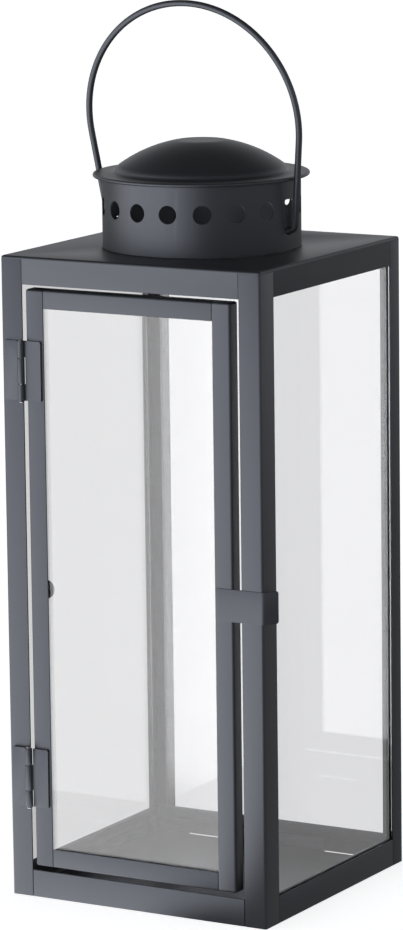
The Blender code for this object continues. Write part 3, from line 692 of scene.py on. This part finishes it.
def make_pin(node):
    """Steel pin, headed at both ends."""
    low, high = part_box(node)
    middle = (low + high) / 2
    head = (high.x - low.x) / 2
    pin = rod(node + "_headed", head, (middle.x, middle.y, low.z), (middle.x, middle.y, high.z), sides=32)
    edit(pin)
    for z in (low.z + PIN_HEAD, high.z - PIN_HEAD):
        pick(pin, "FACE", lambda f: True)
        bpy.ops.mesh.bisect(plane_co=(0, 0, z), plane_no=(0, 0, 1))
    pick(pin, "FACE", lambda f: abs(f.normal.z) < 0.1 and abs(f.calc_center_median().z - middle.z) < MM)
    bpy.ops.mesh.extrude_region_shrink_fatten(
        TRANSFORM_OT_shrink_fatten={"value": -(head - PIN), "use_even_offset": True})
    done()
    ease_edges(pin, 0.25 * MM, 3)
    hand_over(pin, "frame", STEEL, node)


def make_hinges():
    for place, post_owns_middle in (("upper", True), ("lower", False)):
        low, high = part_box(f"hinge_{place}_post_leaf")
        centre = (low.z + high.z) / 2
        middle_low, middle_high = centre - HINGE_MIDDLE / 2, centre + HINGE_MIDDLE / 2
        middle = [(middle_low, middle_high)]
        ends = [(low.z, middle_low - FREE_PLAY), (middle_high + FREE_PLAY, high.z)]
        make_leaf(f"hinge_{place}_post_leaf", "frame", -1, middle if post_owns_middle else ends)
        make_leaf(f"hinge_{place}_door_leaf", "door", 1, ends if post_owns_middle else middle)
        make_pin(f"hinge_{place}_pin")


make_case()
make_roof()
make_floor()
for pane_side in ("left", "right", "rear"):
    make_pane("pane_" + pane_side, "frame")
make_pane("door_pane", "door")
make_collar()
make_lid()
make_bail()
make_door_frame()
make_latch()
make_hinges()


# ---------------------------------------------------------------- studio
def pool_wedge(tree, way):
    """One where a direction or place lies towards the pool, seen from above, and nought away from it."""
    flat = add_node(tree, "ShaderNodeVectorMath", {"operation": "MULTIPLY", 1: (1, 1, 0)}, {0: way})
    heading = add_node(tree, "ShaderNodeVectorMath", {"operation": "NORMALIZE"}, {0: flat.outputs["Vector"]})
    azimuth = math.radians(POOL_AZIMUTH)
    toward = add_node(tree, "ShaderNodeVectorMath",
                      {"operation": "DOT_PRODUCT", 1: (-math.sin(azimuth), -math.cos(azimuth), 0)},
                      {0: heading.outputs["Vector"]})
    wedge = add_node(tree, "ShaderNodeMapRange", {
        "interpolation_type": "SMOOTHSTEP", "From Min": math.cos(math.radians(POOL_EDGE)),
        "From Max": math.cos(math.radians(POOL_CORE))}, {"Value": toward.outputs["Value"]})
    return wedge.outputs["Result"]


def make_stage():
    """Pale floor that glows a little; reflections see it as painted emission: the coat mirrors it dim, and coat
    and glass mirror a painted pool of light on it.
    """
    bpy.ops.object.select_all(action="DESELECT")
    bpy.ops.mesh.primitive_plane_add(size=60)
    floor = settle("studio_floor")
    material, tree = new_material("white_paper_sweep")
    paper = add_node(tree, "ShaderNodeBsdfPrincipled",
                     {"Base Color": srgb("#f4f4f4"), "Roughness": 0.9, "Emission Color": (1, 1, 1, 1),
                      "Emission Strength": FLOOR_GLOW})
    place = add_node(tree, "ShaderNodeTexCoord").outputs["Object"]
    path = add_node(tree, "ShaderNodeLightPath")
    # the floor as reflections see it: painted emission, dim, with a painted pool of light at the front left
    base, extra = [
        add_node(tree, "ShaderNodeMapRange", {"To Min": in_coat, "To Max": in_glass},
                 {"Value": path.outputs["Is Singular Ray"]}).outputs["Result"]
        for in_coat, in_glass in ((FLOOR_DIM, FLOOR_IN_GLASS), (POOL, POOL_IN_GLASS))]
    pool = add_node(tree, "ShaderNodeMath", {"operation": "MULTIPLY_ADD"},
                    {0: pool_wedge(tree, place), 1: extra, 2: base})
    mirrored = add_node(tree, "ShaderNodeEmission", {}, {"Strength": pool.outputs[0]})
    # a reflection keeps its painted floor after it has gone on through a pane
    reflected = add_node(tree, "ShaderNodeMath", {"operation": "MINIMUM", 1: 1.0},
                         {0: path.outputs["Glossy Depth"]})
    # through the panes the paper shows a painted shade, slow and 80 mm wide, towards the left
    across = add_node(tree, "ShaderNodeVectorMath", {"operation": "DOT_PRODUCT", 1: SHADE_ACROSS}, {0: place})
    shade = add_node(tree, "ShaderNodeMapRange", {
        "interpolation_type": "SMOOTHSTEP", "From Min": SHADE_START, "From Max": SHADE_END,
        "To Min": SHADED_PAPER, "To Max": BRIGHT_PAPER}, {"Value": across.outputs["Value"]})
    behind = add_node(tree, "ShaderNodeEmission", {}, {"Strength": shade.outputs["Result"]})
    solid = add_node(tree, "ShaderNodeMixShader", {},
                     {0: path.outputs["Is Transmission Ray"], 1: paper.outputs["BSDF"],
                      2: behind.outputs["Emission"]})
    mix = add_node(tree, "ShaderNodeMixShader", {},
                   {0: reflected.outputs[0], 1: solid.outputs["Shader"], 2: mirrored.outputs["Emission"]})
    add_node(tree, "ShaderNodeOutputMaterial", links={"Surface": mix.outputs["Shader"]})
    floor.data.materials.append(material)


def light_room():
    """Room that lights the lantern, brighter at eye level than overhead; looked at, it is a white backdrop."""
    world = bpy.data.worlds.new("studio_room")
    bpy.context.scene.world = world
    world.use_nodes = True
    tree = world.node_tree
    tree.nodes.clear()
    ray = add_node(tree, "ShaderNodeTexCoord").outputs["Generated"]
    height = add_node(tree, "ShaderNodeSeparateXYZ", {}, {0: ray})
    level = add_node(tree, "ShaderNodeMapRange", {
        "interpolation_type": "SMOOTHSTEP", "From Min": 0.0, "From Max": math.sin(math.radians(ZENITH_FROM)),
        "To Min": HORIZON, "To Max": ZENITH}, {"Value": height.outputs["Z"]})
    low = add_node(tree, "ShaderNodeMapRange", {
        "interpolation_type": "SMOOTHSTEP", "From Min": 0.0, "From Max": math.sin(math.radians(POOL_HEIGHT)),
        "To Min": POOL, "To Max": 0.0}, {"Value": height.outputs["Z"]})
    lit = add_node(tree, "ShaderNodeMath", {"operation": "MULTIPLY_ADD"},
                   {0: low.outputs["Result"], 1: pool_wedge(tree, ray), 2: level.outputs["Result"]})
    room = add_node(tree, "ShaderNodeBackground", {"Color": srgb("#f4f6fa")}, {"Strength": lit.outputs[0]})
    backdrop = add_node(tree, "ShaderNodeBackground", {"Color": (1, 1, 1, 1), "Strength": BACKDROP})
    path = add_node(tree, "ShaderNodeLightPath")
    mix = add_node(tree, "ShaderNodeMixShader", {},
                   {0: path.outputs["Is Camera Ray"], 1: room.outputs[0], 2: backdrop.outputs[0]})
    add_node(tree, "ShaderNodeOutputWorld", links={"Surface": mix.outputs[0]})


make_stage()
light_room()
bpy.context.scene.view_settings.view_transform = "Standard"
